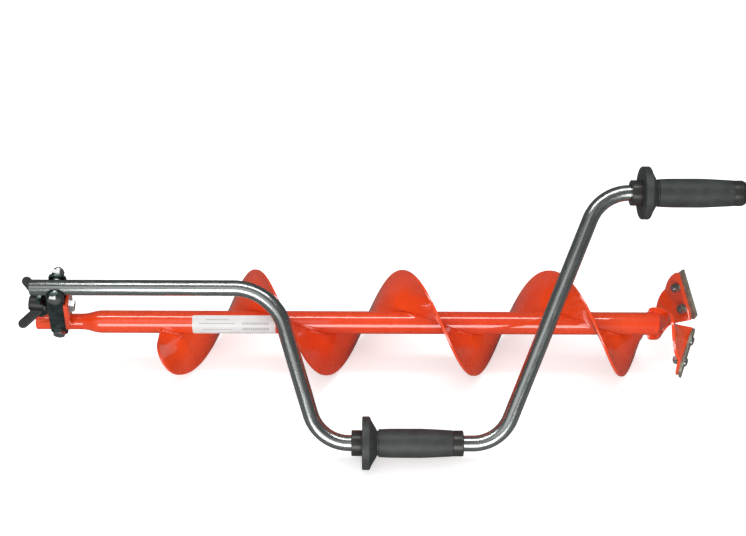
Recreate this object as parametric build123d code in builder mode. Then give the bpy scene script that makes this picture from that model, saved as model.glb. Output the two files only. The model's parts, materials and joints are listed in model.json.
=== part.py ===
"""Folding two-handed ice auger, lying in its folded transport position.

Millimetres, +Z up. The screw's axis runs along +X with the blades at the +X end. The auger lies on
its flight and on the flange of its lower grip, and the origin is under the middle of the whole
folded tool, on the ground.
"""

import math
import os

from build123d import *

# Screw: tube, swaged neck and flight
tube_od = 27.0
tube_wall = 2.0
tube_length = 738.0
neck_od = 19.0
neck_length = 59.5
taper_length = 12.0
flight_od = 126.0
flight_pitch = 175.0
flight_start = 148.0
flight_length = 579.0
flight_thickness = 3.0
flight_first_crest = 259.5
flight_cut_back = 14.5
flight_cut_depth = 60.5
flight_cut_ahead = 1.0
# Rounded start of the flight, seen from the front: distance past the start, depth under the axis
flight_start_round = (
    (-1.0, -12.0),
    (2.1, -26.9),
    (5.5, -37.0),
    (10.4, -48.6),
    (15.2, -57.0),
    (21.1, -63.6),
)
root_gap = 0.02

# Cutting head
cut_diameter = 130.0
wing_reach = 61.0
wing_thickness = 3.5
wing_tip_ahead = 22.5
wing_cone = 0.30
wing_slope = 0.38
wing_inner = 3.0
wing_outer = 84.0
wing_front_inner = 16.0
wing_root_inner = (5.0, 40.0)
wing_weld_angles = (174.0, 150.0, 124.0)
# Outline of a wing: radius, and angle behind its leading edge
wing_rim = (
    (wing_reach, 0.0),
    (54.0, 26.0),
    (49.0, 45.0),
    (44.5, 63.0),
    (38.0, 90.0),
    (29.5, 114.0),
    (23.5, 136.0),
    (21.8, 155.0),
    (18.5, 170.0),
)
# Flat seat between two angles, then the root: angle, drop of its inner and outer ends, and its
# thickness along the axis, which grows where the plate is steep
seat_start_angle = -6.0
seat_end_angle = 37.0
root_twist = (
    (37.0, 0.0, 0.0, 3.5),
    (52.0, 6.5, 9.5, 3.6),
    (66.0, 11.5, 12.5, 3.6),
    (90.0, 20.4, 9.0, 3.6),
    (115.0, 26.5, 5.0, 3.9),
    (138.0, 33.5, 8.0, 4.8),
    (157.0, 42.5, 11.0, 5.6),
    (180.0, 56.5, 19.0, 5.8),
)
blade_thickness = 3.0
blade_overhang = 8.0
blade_back = 17.0
blade_nose = 9.0
blade_tip_set = 0.8
blade_heel_set = 4.0
blade_heel = 14.0
blade_waist = 8.0
blade_hollow = 5.0
bevel_width = 6.0
edge_land = 0.3
blade_screw_d = 6.0
blade_screw_clearance = 0.3
blade_screw_radii = (45.0, 20.0)
blade_screw_behind = 7.0
screw_head_d = 11.0
screw_head_height = 3.2
screw_head_round = 1.0
screw_spare = 1.5
nut_6_flats = 10.0
nut_6_height = 5.0
washer_6_od = 12.0
washer_6_thickness = 1.6

# Label on the tube
label_start = 186.0
label_length = 98.0
label_thickness = 0.15
label_first_angle = 52.0
label_arc = 150.0

# Hinge
neck_tail = 28.0
handle_tail = 28.7
link_roll = 28.75
link_lean = 9.3
handle_over_flight = 4.0
link_width = 20.0
link_thickness = 3.5
link_clearance = 0.3
bolt_d = 8.0
bolt_clearance = 0.05
bolt_8_flats = 13.0
bolt_8_head = 5.3
bolt_8_chamfer = 0.8
lock_nut_height = 8.0
nut_collar = 2.5
nut_collar_step = 0.3
bolt_end = 2.0
washer_8_od = 16.0
washer_8_thickness = 1.6
bush_od = 11.0

# Clamp across the hinge
saddle_length = 60.0
saddle_thickness = 3.0
saddle_gap = 0.1
saddle_lip = 1.5
shoe_flat = 17.0
shoe_length = 36.0
shoe_width = 17.0
shoe_thickness = 3.0
shoe_bend = 38.0
shoe_stand_off = 11.3
shoe_bore_clearance = 0.4
knob_d = 18.5
knob_length = 17.5
knob_chamfer = 1.5
knob_reach = 9.0
knob_root_ahead = 4.0
knob_root_side = 5.0
stud_in_knob = 7.0
knob_tip_radius = 24.5
knob_tip_ahead = 22.0
knob_tip_d = 11.0
knob_wing_thickness = 5.5
insert_od = 12.0
knob_cap = 2.5

# Handle
handle_od = 18.0
handle_wall = 1.5
first_leg_x = 244.5
first_leg_angle = 73.2
lower_drop = 174.0
lower_run = 204.3
second_leg_angle = 68.4
upper_rise = 109.0
bend_radii = (60.0, 46.0, 46.0, 48.0)
lower_grip_at = 36.5
upper_grip_at = 33.6

# Grips
grip_length = 126.0
grip_collar = 12.0
sleeve_clearance = 0.3
sleeve_od = 24.5
collar_od = 29.0
collar_chamfer = 1.0
flange_od = 60.0
flange_thickness = 9.0
flange_crown = 3.0
flange_cone = 8.0
flange_cone_od = 56.0
grip_waist_od = 30.4
grip_od = 33.2
grip_end_od = 29.6
cap_thickness = 3.0
cap_gap = 0.5
cap_depth = 14.0
cap_rim = 1.0
cap_shoulder = 2.5
cap_neck_gap = 0.2

# How the folded auger lies: the handle's plane leans back until the lower grip's flange is down
stand_off = flight_od / 2 + handle_od / 2 + handle_over_flight
link_reach = stand_off / math.cos(math.radians(link_roll))
link_centres = link_reach / math.cos(math.radians(link_lean))
handle_rise = link_reach * math.sin(math.radians(link_roll))
grip_drop = lower_drop - handle_rise
lean_back = math.degrees(
    math.acos((flange_od - flight_od) / 2 / math.hypot(stand_off, grip_drop))
    - math.atan2(grip_drop, stand_off)
)
along = Vector(1, 0, 0)
up = Vector(0, 1, 0).rotate(Axis.X, lean_back)
front = Vector(0, 0, 1).rotate(Axis.X, lean_back)

# Middle of the folded tool, seen from above
lower_left_x = first_leg_x + lower_drop / math.tan(math.radians(first_leg_angle))
second_leg_x = lower_left_x + lower_run
upper_corner_x = second_leg_x + (lower_drop + upper_rise) / math.tan(math.radians(second_leg_angle))
tool_end = (
    neck_tail + link_centres * math.sin(math.radians(link_lean)) + upper_corner_x
    + upper_grip_at + grip_length + cap_gap + cap_thickness
)
middle_x = (tool_end - knob_reach) / 2
lowest_y = (up * -grip_drop + front * stand_off).Y - flange_od / 2
highest_y = (up * (handle_rise + upper_rise) + front * stand_off).Y + flange_od / 2
middle_y = (lowest_y + highest_y) / 2

neck_end = Vector(-middle_x, -middle_y, flight_od / 2)
screw_axis = Axis(neck_end, along)
neck_pivot = neck_end + along * neck_tail
link_out = front.rotate(Axis.X, -link_roll)
link_way = along * math.sin(math.radians(link_lean)) + link_out * math.cos(math.radians(link_lean))
pivot_way = along.cross(link_out)
clamp_way = pivot_way.cross(link_way)
handle_pivot = neck_pivot + link_way * link_centres

# Working planes: the hinge (x along the link, z along the bolts) and the crank (x along the tube)
hinge = Plane(origin=neck_pivot, x_dir=link_way, z_dir=pivot_way)
crank = Plane(origin=handle_pivot, x_dir=along, z_dir=front)
middle = link_centres / 2
tube_r = tube_od / 2
wider_tube_r = max(neck_od, handle_od) / 2
plate_inside = wider_tube_r + link_clearance
plate_outside = plate_inside + link_thickness


def around(angle, side=0.0):
    """Direction square to the screw's axis, turned from the handle's side by an angle."""
    return up.rotate(Axis.X, angle + side)


def radial_plane(angle, side=0.0):
    """Plane through the screw's axis, with x outwards and y along the axis."""
    outwards = around(angle, side)
    return Plane(origin=neck_end, x_dir=outwards, z_dir=outwards.cross(along))


# Screw tube: one length, swaged down to the neck, with a cross hole for the bush
with BuildPart() as auger_tube:
    with BuildSketch(radial_plane(0)):
        with BuildLine():
            Polyline(
                (neck_od / 2 - tube_wall, 0),
                (neck_od / 2, 0),
                (neck_od / 2, neck_length),
                (tube_r, neck_length + taper_length),
                (tube_r, tube_length),
                (tube_r - tube_wall, tube_length),
                (tube_r - tube_wall, neck_length + taper_length),
                (neck_od / 2 - tube_wall, neck_length),
                close=True,
            )
        make_face()
    revolve(axis=screw_axis)
    with BuildSketch(hinge):
        Circle(bush_od / 2)
    extrude(amount=neck_od, both=True, mode=Mode.SUBTRACT)
auger_tube.part.label = "auger_tube"

# Flight: a right-handed strip on edge, square cut at its start and cut askew at its end
flight_turn = (flight_start - flight_first_crest) / flight_pitch * 360
flight_inside = tube_r + root_gap
flight_middle = (flight_od / 2 + flight_inside) / 2
flight_plane = Plane(
    origin=neck_end + along * flight_start, x_dir=around(flight_turn), z_dir=along
)
flight_end = flight_start + flight_length
with BuildPart() as strip:
    with BuildLine() as rail:
        Helix(pitch=flight_pitch, height=flight_length, radius=flight_middle)
    with BuildSketch(Plane(origin=rail.line @ 0, x_dir=(1, 0, 0), z_dir=rail.line % 0)):
        Rectangle(flight_od / 2 - flight_inside, flight_thickness)
    sweep(path=rail.line, is_frenet=True)

with BuildPart() as auger_flight:
    add(flight_plane.from_local_coords(strip.part))
    with BuildSketch(Plane(origin=neck_end, x_dir=along, z_dir=front)):
        with BuildLine():
            Polyline(
                (flight_end + flight_cut_ahead, -tube_r),
                (flight_end - flight_cut_back, -flight_cut_depth),
                (flight_end - flight_cut_back, -flight_od),
                (flight_end + flight_pitch, -flight_od),
                (flight_end + flight_pitch, -tube_r),
                close=True,
            )
        make_face()
    extrude(amount=-flight_od / 2 - flight_thickness, mode=Mode.SUBTRACT)
    with BuildSketch(Plane(origin=neck_end + along * flight_start, x_dir=along, z_dir=front)):
        with BuildLine():
            Spline(*flight_start_round)
            Polyline(
                flight_start_round[-1],
                (flight_start_round[-1][0], -flight_od),
                (-flight_od, -flight_od),
                (-flight_od, flight_start_round[0][1]),
                flight_start_round[0],
            )
        make_face()
    extrude(amount=flight_od, mode=Mode.SUBTRACT)
auger_flight.part.label = "auger_flight"

# Steel bushes through the neck and the handle tube, which the hinge bolts turn in
with BuildPart() as neck_pivot_bush:
    with BuildSketch(hinge):
        Circle(bush_od / 2)
        Circle(bolt_d / 2 + bolt_clearance, mode=Mode.SUBTRACT)
    extrude(amount=wider_tube_r, both=True)
neck_pivot_bush.part.label = "neck_pivot_bush"

with BuildPart() as handle_pivot_bush:
    with BuildSketch(hinge):
        with Locations((link_centres, 0)):
            Circle(bush_od / 2)
            Circle(bolt_d / 2 + bolt_clearance, mode=Mode.SUBTRACT)
    extrude(amount=wider_tube_r, both=True)
handle_pivot_bush.part.label = "handle_pivot_bush"

# Wings: a flat seat for the blade, then a root that twists back round the tube's end.
# wing_face is the height of the shank-side face above the axis's start at a radius and an angle
# behind the leading edge.
wing_tip = tube_length + wing_tip_ahead


def wing_face(radius, angle):
    turn = math.radians(angle)
    return (
        wing_tip
        + wing_cone * (wing_reach - radius * math.cos(turn))
        - wing_slope * radius * math.sin(turn)
    )


def wing_strip(angle, side, drop_inside, drop_outside, thickness):
    """Section of a wing's plate in the radial plane at an angle behind the leading edge."""
    low_inner = wing_face(wing_inner, min(angle, seat_end_angle)) - drop_inside
    low_outer = wing_face(wing_outer, min(angle, seat_end_angle)) - drop_outside
    with BuildSketch(radial_plane(-angle, side)) as plate_section:
        with BuildLine():
            Polyline(
                (wing_inner, low_inner),
                (wing_outer, low_outer),
                (wing_outer, low_outer + thickness),
                (wing_inner, low_inner + thickness),
                close=True,
            )
        make_face()
    return plate_section.sketch


def polar(radius, angle):
    """Point of a wing's outline, behind its leading edge by an angle."""
    turn = math.radians(angle)
    return (radius * math.cos(turn), -radius * math.sin(turn))


def seat_plane(side):
    """Plane of a wing's front face where the blade lies, with x outwards and y ahead."""
    outwards, ahead = around(0, side), around(90, side)
    normal = along + outwards * wing_cone - ahead * wing_slope
    start = neck_end + along * (wing_face(0, 0) + wing_thickness)
    return Plane(origin=start, x_dir=outwards - along * wing_cone, z_dir=normal)


def screw_places():
    """Places of one blade's two screws in its seat plane."""
    stretch = math.hypot(1, wing_cone)
    return [(radius * stretch, -blade_screw_behind) for radius in blade_screw_radii]


weld_r = tube_r + root_gap


def blade_holder(side):
    """One wing, cut from its bent plate by its outline."""
    front_inner = polar(wing_front_inner, 0)
    root_inner = polar(*wing_root_inner)
    weld_start, weld_middle, weld_end = [polar(weld_r, angle) for angle in wing_weld_angles]
    with BuildPart() as holder:
        with BuildSketch(Plane(origin=neck_end, x_dir=around(0, side), z_dir=along)):
            with BuildLine():
                Line(front_inner, polar(*wing_rim[0]))
                Spline([polar(*point) for point in wing_rim])
                Line(polar(*wing_rim[-1]), weld_start)
                ThreePointArc(weld_start, weld_middle, weld_end)
                Line(weld_end, root_inner)
                Line(root_inner, front_inner)
            make_face()
        extrude(amount=2 * tube_length)
        with BuildPart(mode=Mode.PRIVATE) as plate:
            seat_angles = (seat_start_angle, seat_end_angle)
            loft(
                [wing_strip(angle, side, 0, 0, wing_thickness) for angle in seat_angles], ruled=True
            )
            loft([wing_strip(angle, side, *twist) for angle, *twist in root_twist])
        add(plate.part, mode=Mode.INTERSECT)
        with BuildSketch(seat_plane(side)):
            with Locations(*screw_places()):
                Circle(blade_screw_d / 2 + blade_screw_clearance)
        extrude(amount=3 * wing_thickness, both=True, mode=Mode.SUBTRACT)
    return holder


blade_holder_a = blade_holder(0)
blade_holder_a.part.label = "blade_holder_a"
blade_holder_b = blade_holder(180)
blade_holder_b.part.label = "blade_holder_b"


# Blades: flat, in front of the wings, ground on the front along the leading edge
def blade(side):
    """One blade in its seat plane, with x outwards and y ahead."""
    seat = seat_plane(side)
    tip = math.sqrt((cut_diameter / 2) ** 2 - blade_overhang**2)
    stretch = math.hypot(1, wing_cone)
    with BuildPart() as steel:
        with BuildSketch(seat):
            with BuildLine():
                Polyline(
                    (blade_nose * stretch, blade_overhang),
                    (tip * stretch - blade_tip_set, blade_overhang),
                    (wing_reach * stretch - blade_heel_set, -blade_back),
                    (blade_heel * stretch, -blade_back),
                    (blade_waist * stretch, -blade_back / 2),
                    (blade_hollow * stretch, 0),
                    close=True,
                )
            make_face()
        extrude(amount=blade_thickness)
        with BuildSketch(Plane(origin=seat.origin, x_dir=seat.y_dir, z_dir=seat.x_dir)):
            with BuildLine():
                Polyline(
                    (blade_overhang - bevel_width, -blade_thickness - 1),
                    (blade_overhang - bevel_width, -blade_thickness),
                    (blade_overhang, -edge_land),
                    (blade_overhang + bevel_width, -edge_land),
                    (blade_overhang + bevel_width, -blade_thickness - 1),
                    close=True,
                )
            make_face()
        extrude(amount=cut_diameter, mode=Mode.SUBTRACT)
        with BuildSketch(seat):
            with Locations(*screw_places()):
                Circle(blade_screw_d / 2 + blade_screw_clearance)
        extrude(amount=blade_thickness, mode=Mode.SUBTRACT)
    return steel


blade_a = blade(0)
blade_a.part.label = "blade_a"
blade_b = blade(180)
blade_b.part.label = "blade_b"


def is_round(edge, radius):
    """True for an edge that is a circle of this radius."""
    return edge.geom_type == GeomType.CIRCLE and abs(edge.radius - radius) < 0.01


# Blade fasteners: button-head screws from the front, washers and nuts on the shank side
wing_normal = math.hypot(1, wing_cone, wing_slope)
seat_back = wing_thickness / wing_normal
screw_end = seat_back + washer_6_thickness + nut_6_height + screw_spare
with BuildPart() as blade_screws:
    for side in (0, 180):
        seat = seat_plane(side)
        with BuildSketch(seat.offset(-screw_end)):
            with Locations(*screw_places()):
                Circle(blade_screw_d / 2)
        extrude(amount=screw_end + blade_thickness)
        with BuildSketch(seat.offset(blade_thickness)):
            with Locations(*screw_places()):
                Circle(screw_head_d / 2)
        extrude(amount=screw_head_height)
    rims = blade_screws.edges().filter_by(lambda edge: is_round(edge, screw_head_d / 2))
    fillet(rims, radius=screw_head_round)
blade_screws.part.label = "blade_screws"

with BuildPart() as blade_washers:
    for side in (0, 180):
        with BuildSketch(seat_plane(side).offset(-seat_back)):
            with Locations(*screw_places()):
                Circle(washer_6_od / 2)
                Circle(blade_screw_d / 2 + blade_screw_clearance, mode=Mode.SUBTRACT)
        extrude(amount=-washer_6_thickness)
blade_washers.part.label = "blade_washers"

with BuildPart() as blade_nuts:
    for side in (0, 180):
        with BuildSketch(seat_plane(side).offset(-seat_back - washer_6_thickness)):
            with Locations(*screw_places()):
                RegularPolygon(nut_6_flats / 2, 6, major_radius=False)
                Circle(blade_screw_d / 2 + bolt_clearance, mode=Mode.SUBTRACT)
        extrude(amount=-nut_6_height)
blade_nuts.part.label = "blade_nuts"

# Label: a thin sheet round the front of the tube
with BuildPart() as tube_label:
    with BuildSketch(radial_plane(label_first_angle)):
        with Locations((tube_r + label_thickness / 2, label_start + label_length / 2)):
            Rectangle(label_thickness, label_length)
    revolve(axis=screw_axis, revolution_arc=label_arc)
tube_label.part.label = "tube_label"


# Link plates, one on each side of the two tubes
def link_plate(height):
    """A plate whose back is at a height over the hinge's middle plane."""
    with BuildPart() as plate:
        with BuildSketch(hinge.offset(height)):
            with Locations((middle, 0)):
                SlotCenterToCenter(link_centres, link_width)
            with Locations((0, 0), (link_centres, 0)):
                Circle(bolt_d / 2 + bolt_clearance, mode=Mode.SUBTRACT)
        extrude(amount=link_thickness)
    return plate


link_plate_front = link_plate(plate_inside)
link_plate_front.part.label = "link_plate_front"
link_plate_back = link_plate(-plate_outside)
link_plate_back.part.label = "link_plate_back"


# Hinge bolts: hexagon heads in front, washers and lock nuts behind
def pivot_bolt(distance):
    """A hinge bolt at a distance along the link."""
    with BuildPart() as bolt:
        grip = plate_outside + washer_8_thickness + lock_nut_height + bolt_end
        with BuildSketch(hinge.offset(-grip)):
            with Locations((distance, 0)):
                Circle(bolt_d / 2)
        extrude(amount=grip + plate_outside)
        with BuildSketch(hinge.offset(plate_outside)):
            with Locations((distance, 0)):
                RegularPolygon(bolt_8_flats / 2, 6, major_radius=False)
        extrude(amount=bolt_8_head)
        end_face = bolt.faces().sort_by(Axis(neck_pivot, pivot_way))[0]
        chamfer(end_face.edges(), length=bolt_8_chamfer)
    return bolt


neck_pivot_bolt = pivot_bolt(0)
neck_pivot_bolt.part.label = "neck_pivot_bolt"
handle_pivot_bolt = pivot_bolt(link_centres)
handle_pivot_bolt.part.label = "handle_pivot_bolt"

with BuildPart() as pivot_washers:
    with BuildSketch(hinge.offset(-plate_outside)):
        with Locations((0, 0), (link_centres, 0)):
            Circle(washer_8_od / 2)
            Circle(bolt_d / 2 + bolt_clearance, mode=Mode.SUBTRACT)
    extrude(amount=-washer_8_thickness)
pivot_washers.part.label = "pivot_washers"

with BuildPart() as pivot_lock_nuts:
    with BuildSketch(hinge.offset(-plate_outside - washer_8_thickness)):
        with Locations((0, 0), (link_centres, 0)):
            RegularPolygon(bolt_8_flats / 2, 6, major_radius=False)
            Circle(bolt_d / 2 + bolt_clearance, mode=Mode.SUBTRACT)
    extrude(amount=nut_collar - lock_nut_height)
    with BuildSketch(hinge.offset(-plate_outside - washer_8_thickness - lock_nut_height)):
        with Locations((0, 0), (link_centres, 0)):
            Circle(bolt_8_flats / 2 - nut_collar_step)
            Circle(bolt_d / 2 + bolt_clearance, mode=Mode.SUBTRACT)
    extrude(amount=nut_collar)
pivot_lock_nuts.part.label = "pivot_lock_nuts"

# Saddle: a channel over the plates' edges, which both tubes lie in when the auger is unfolded
saddle_face = link_width / 2 + saddle_gap
lip_inside = plate_outside + link_clearance
saddle_outside = lip_inside + saddle_thickness
section = Plane(origin=neck_pivot + link_way * middle, x_dir=pivot_way, z_dir=-link_way)
with BuildPart() as saddle:
    with BuildSketch(section):
        with BuildLine():
            Polyline(
                (-saddle_outside, -saddle_face + saddle_lip),
                (-saddle_outside, -saddle_face - saddle_thickness),
                (saddle_outside, -saddle_face - saddle_thickness),
                (saddle_outside, -saddle_face + saddle_lip),
                (lip_inside, -saddle_face + saddle_lip),
                (lip_inside, -saddle_face),
                (-lip_inside, -saddle_face),
                (-lip_inside, -saddle_face + saddle_lip),
                close=True,
            )
        make_face()
    extrude(amount=saddle_length / 2, both=True)
    with BuildSketch(Plane(origin=section.origin, x_dir=link_way, z_dir=clamp_way)):
        Circle(bolt_d / 2 + shoe_bore_clearance)
    extrude(amount=2 * link_width, both=True, mode=Mode.SUBTRACT)
saddle.part.label = "saddle"

# Clamp bolt: head behind the saddle, shank between the tube ends and into the knob
clamp_plane = Plane(origin=section.origin, x_dir=link_way, z_dir=clamp_way)
saddle_back = saddle_face + saddle_thickness
knob_start = shoe_stand_off + shoe_thickness + washer_8_thickness
with BuildPart() as clamp_bolt:
    with BuildSketch(clamp_plane.offset(-saddle_back)):
        Circle(bolt_d / 2)
    extrude(amount=saddle_back + knob_start + stud_in_knob)
    with BuildSketch(clamp_plane.offset(-saddle_back)):
        RegularPolygon(bolt_8_flats / 2, 6, major_radius=False)
    extrude(amount=-bolt_8_head)
clamp_bolt.part.label = "clamp_bolt"

# Clamp shoe: a bent strip whose sloping ends press on the ends of both tubes
shoe_rise = (shoe_length - shoe_flat) / 2 * math.tan(math.radians(shoe_bend))
slant = shoe_thickness / math.cos(math.radians(shoe_bend))
with BuildPart() as clamp_shoe:
    with BuildSketch(Plane(origin=section.origin, x_dir=link_way, z_dir=pivot_way)):
        with BuildLine():
            Polyline(
                (-shoe_length / 2, shoe_stand_off + shoe_rise),
                (-shoe_flat / 2, shoe_stand_off),
                (shoe_flat / 2, shoe_stand_off),
                (shoe_length / 2, shoe_stand_off + shoe_rise),
                (shoe_length / 2, shoe_stand_off + shoe_rise + slant),
                (shoe_flat / 2, shoe_stand_off + shoe_thickness),
                (-shoe_flat / 2, shoe_stand_off + shoe_thickness),
                (-shoe_length / 2, shoe_stand_off + shoe_rise + slant),
                close=True,
            )
        make_face()
    extrude(amount=shoe_width / 2, both=True)
    with BuildSketch(clamp_plane):
        Circle(bolt_d / 2 + shoe_bore_clearance)
    extrude(amount=2 * link_width, mode=Mode.SUBTRACT)
clamp_shoe.part.label = "clamp_shoe"

with BuildPart() as clamp_washer:
    with BuildSketch(clamp_plane.offset(shoe_stand_off + shoe_thickness)):
        Circle(washer_8_od / 2)
        Circle(bolt_d / 2 + shoe_bore_clearance, mode=Mode.SUBTRACT)
    extrude(amount=washer_8_thickness)
clamp_washer.part.label = "clamp_washer"

# Wing knob: a moulded hub with two paddles that lean away from the hinge, over a metal insert
knob_up = (up - clamp_way * up.dot(clamp_way)).normalized()
with BuildPart() as wing_knob:
    with BuildSketch(clamp_plane.offset(knob_start)):
        Circle(knob_d / 2)
    extrude(amount=knob_length)
    top_face = wing_knob.faces().sort_by(Axis(section.origin, clamp_way))[-1]
    chamfer(top_face.edges(), length=knob_chamfer)
    with BuildSketch(Plane(origin=section.origin, x_dir=clamp_way, z_dir=clamp_way.cross(knob_up))):
        for way in (1, -1):
            with BuildLine():
                root = Vector(knob_start + knob_root_ahead, way * knob_root_side)
                tip = Vector(knob_start + knob_tip_ahead, way * knob_tip_radius)
                reach = (tip - root).normalized()
                across = Vector(-reach.Y, reach.X) * knob_tip_d / 2
                Line(root + across, tip + across)
                ThreePointArc(tip + across, tip + reach * knob_tip_d / 2, tip - across)
                Line(tip - across, root - across)
                Line(root - across, root + across)
            make_face()
    extrude(amount=knob_wing_thickness / 2, both=True)
    with BuildSketch(clamp_plane.offset(knob_start)):
        Circle(insert_od / 2)
    extrude(amount=knob_length - knob_cap, mode=Mode.SUBTRACT)
wing_knob.part.label = "wing_knob"

with BuildPart() as wing_insert:
    with BuildSketch(clamp_plane.offset(knob_start)):
        Circle(insert_od / 2)
        Circle(bolt_d / 2 + bolt_clearance, mode=Mode.SUBTRACT)
    extrude(amount=knob_length - knob_cap)
wing_insert.part.label = "wing_insert"

# Handle tube: straight at the hinge, down to the lower grip, and up past the tube to the upper one
upper_grip_x = upper_corner_x + upper_grip_at
handle_end_x = upper_grip_x + grip_length
with BuildPart() as handle_tube:
    with BuildLine(crank) as bends:
        FilletPolyline(
            (-handle_tail, 0),
            (first_leg_x, 0),
            (lower_left_x, -lower_drop),
            (second_leg_x, -lower_drop),
            (upper_corner_x, upper_rise),
            (handle_end_x, upper_rise),
            radius=list(bend_radii),
        )
    with BuildSketch(Plane(origin=handle_pivot - along * handle_tail, x_dir=up, z_dir=along)):
        Circle(handle_od / 2)
        Circle(handle_od / 2 - handle_wall, mode=Mode.SUBTRACT)
    sweep(path=bends.wire())
    with BuildSketch(hinge):
        with Locations((link_centres, 0)):
            Circle(bush_od / 2)
    extrude(amount=handle_od, both=True, mode=Mode.SUBTRACT)
handle_tube.part.label = "handle_tube"


# Grips: a hard sleeve with a collar at each end, and a soft grip with a hand flange over it
def grip_frame(start_x, height):
    """Half plane of a grip, with x along the tube and y outwards."""
    return Plane(origin=handle_pivot + along * start_x + up * height, x_dir=along, z_dir=front)


def grip_axis(start_x, height):
    """Middle line of a grip."""
    return Axis(handle_pivot + along * start_x + up * height, along)


sleeve_bore = handle_od / 2 + sleeve_clearance
flange_end = grip_collar + flange_thickness
grip_end = grip_length - grip_collar


def grip_sleeve(start_x, height):
    """Hard sleeve with a collar at each end."""
    with BuildPart() as sleeve:
        with BuildSketch(grip_frame(start_x, height)):
            with BuildLine():
                Polyline(
                    (0, sleeve_bore),
                    (0, collar_od / 2 - collar_chamfer),
                    (collar_chamfer, collar_od / 2),
                    (grip_collar, collar_od / 2),
                    (grip_collar, sleeve_od / 2),
                    (grip_end, sleeve_od / 2),
                    (grip_end, collar_od / 2),
                    (grip_length - collar_chamfer, collar_od / 2),
                    (grip_length, collar_od / 2 - collar_chamfer),
                    (grip_length, sleeve_bore),
                    close=True,
                )
            make_face()
        revolve(axis=grip_axis(start_x, height))
    return sleeve


def soft_grip(start_x, height):
    """Soft grip with its hand flange."""
    bulge = (flange_end + flange_cone + grip_end) / 2
    rim_side = flange_od / 2 - flange_crown
    with BuildPart() as rubber:
        with BuildSketch(grip_frame(start_x, height)):
            with BuildLine():
                Line((grip_collar, sleeve_od / 2), (grip_collar, rim_side))
                ThreePointArc(
                    (grip_collar, rim_side),
                    (grip_collar + flange_thickness / 2, flange_od / 2),
                    (flange_end, rim_side),
                )
                Line((flange_end, rim_side), (flange_end, flange_cone_od / 2))
                Line((flange_end, flange_cone_od / 2), (flange_end + flange_cone, grip_waist_od / 2))
                ThreePointArc(
                    (flange_end + flange_cone, grip_waist_od / 2),
                    (bulge, grip_od / 2),
                    (grip_end, grip_end_od / 2),
                )
                Line((grip_end, grip_end_od / 2), (grip_end, sleeve_od / 2))
                Line((grip_end, sleeve_od / 2), (grip_collar, sleeve_od / 2))
            make_face()
        revolve(axis=grip_axis(start_x, height))
    return rubber


lower_grip_x = lower_left_x + lower_grip_at
lower_grip_sleeve = grip_sleeve(lower_grip_x, -lower_drop)
lower_grip_sleeve.part.label = "lower_grip_sleeve"
lower_grip = soft_grip(lower_grip_x, -lower_drop)
lower_grip.part.label = "lower_grip"
upper_grip_sleeve = grip_sleeve(upper_grip_x, upper_rise)
upper_grip_sleeve.part.label = "upper_grip_sleeve"
upper_grip = soft_grip(upper_grip_x, upper_rise)
upper_grip.part.label = "upper_grip"

# Cap in the open end of the tube, which keeps the upper grip on
with BuildPart() as upper_end_cap:
    with BuildSketch(grip_frame(upper_grip_x, upper_rise)):
        with BuildLine():
            Polyline(
                (grip_length - cap_depth, 0),
                (grip_length - cap_depth, handle_od / 2 - handle_wall),
                (grip_length, handle_od / 2 - handle_wall),
                (grip_length, handle_od / 2 - cap_neck_gap),
                (grip_length + cap_gap, handle_od / 2 - cap_neck_gap),
                (grip_length + cap_gap, collar_od / 2 - cap_rim),
                (grip_length + cap_gap + cap_thickness, collar_od / 2 - cap_shoulder),
                (grip_length + cap_gap + cap_thickness, 0),
                close=True,
            )
        make_face()
    revolve(axis=grip_axis(upper_grip_x, upper_rise))
upper_end_cap.part.label = "upper_end_cap"

os.makedirs("parts", exist_ok=True)
export_step(auger_tube.part, "parts/auger_tube.step")
export_step(auger_flight.part, "parts/auger_flight.step")
export_step(neck_pivot_bush.part, "parts/neck_pivot_bush.step")
export_step(handle_pivot_bush.part, "parts/handle_pivot_bush.step")
export_step(blade_holder_a.part, "parts/blade_holder_a.step")
export_step(blade_holder_b.part, "parts/blade_holder_b.step")
export_step(blade_a.part, "parts/blade_a.step")
export_step(blade_b.part, "parts/blade_b.step")
export_step(blade_screws.part, "parts/blade_screws.step")
export_step(blade_washers.part, "parts/blade_washers.step")
export_step(blade_nuts.part, "parts/blade_nuts.step")
export_step(tube_label.part, "parts/tube_label.step")
export_step(link_plate_front.part, "parts/link_plate_front.step")
export_step(link_plate_back.part, "parts/link_plate_back.step")
export_step(neck_pivot_bolt.part, "parts/neck_pivot_bolt.step")
export_step(handle_pivot_bolt.part, "parts/handle_pivot_bolt.step")
export_step(pivot_washers.part, "parts/pivot_washers.step")
export_step(pivot_lock_nuts.part, "parts/pivot_lock_nuts.step")
export_step(saddle.part, "parts/saddle.step")
export_step(clamp_bolt.part, "parts/clamp_bolt.step")
export_step(clamp_shoe.part, "parts/clamp_shoe.step")
export_step(clamp_washer.part, "parts/clamp_washer.step")
export_step(wing_knob.part, "parts/wing_knob.step")
export_step(wing_insert.part, "parts/wing_insert.step")
export_step(handle_tube.part, "parts/handle_tube.step")
export_step(lower_grip_sleeve.part, "parts/lower_grip_sleeve.step")
export_step(lower_grip.part, "parts/lower_grip.step")
export_step(upper_grip_sleeve.part, "parts/upper_grip_sleeve.step")
export_step(upper_grip.part, "parts/upper_grip.step")
export_step(upper_end_cap.part, "parts/upper_end_cap.step")
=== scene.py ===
"""Looks of a folding ice auger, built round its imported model. Metres, +Z up."""

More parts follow.
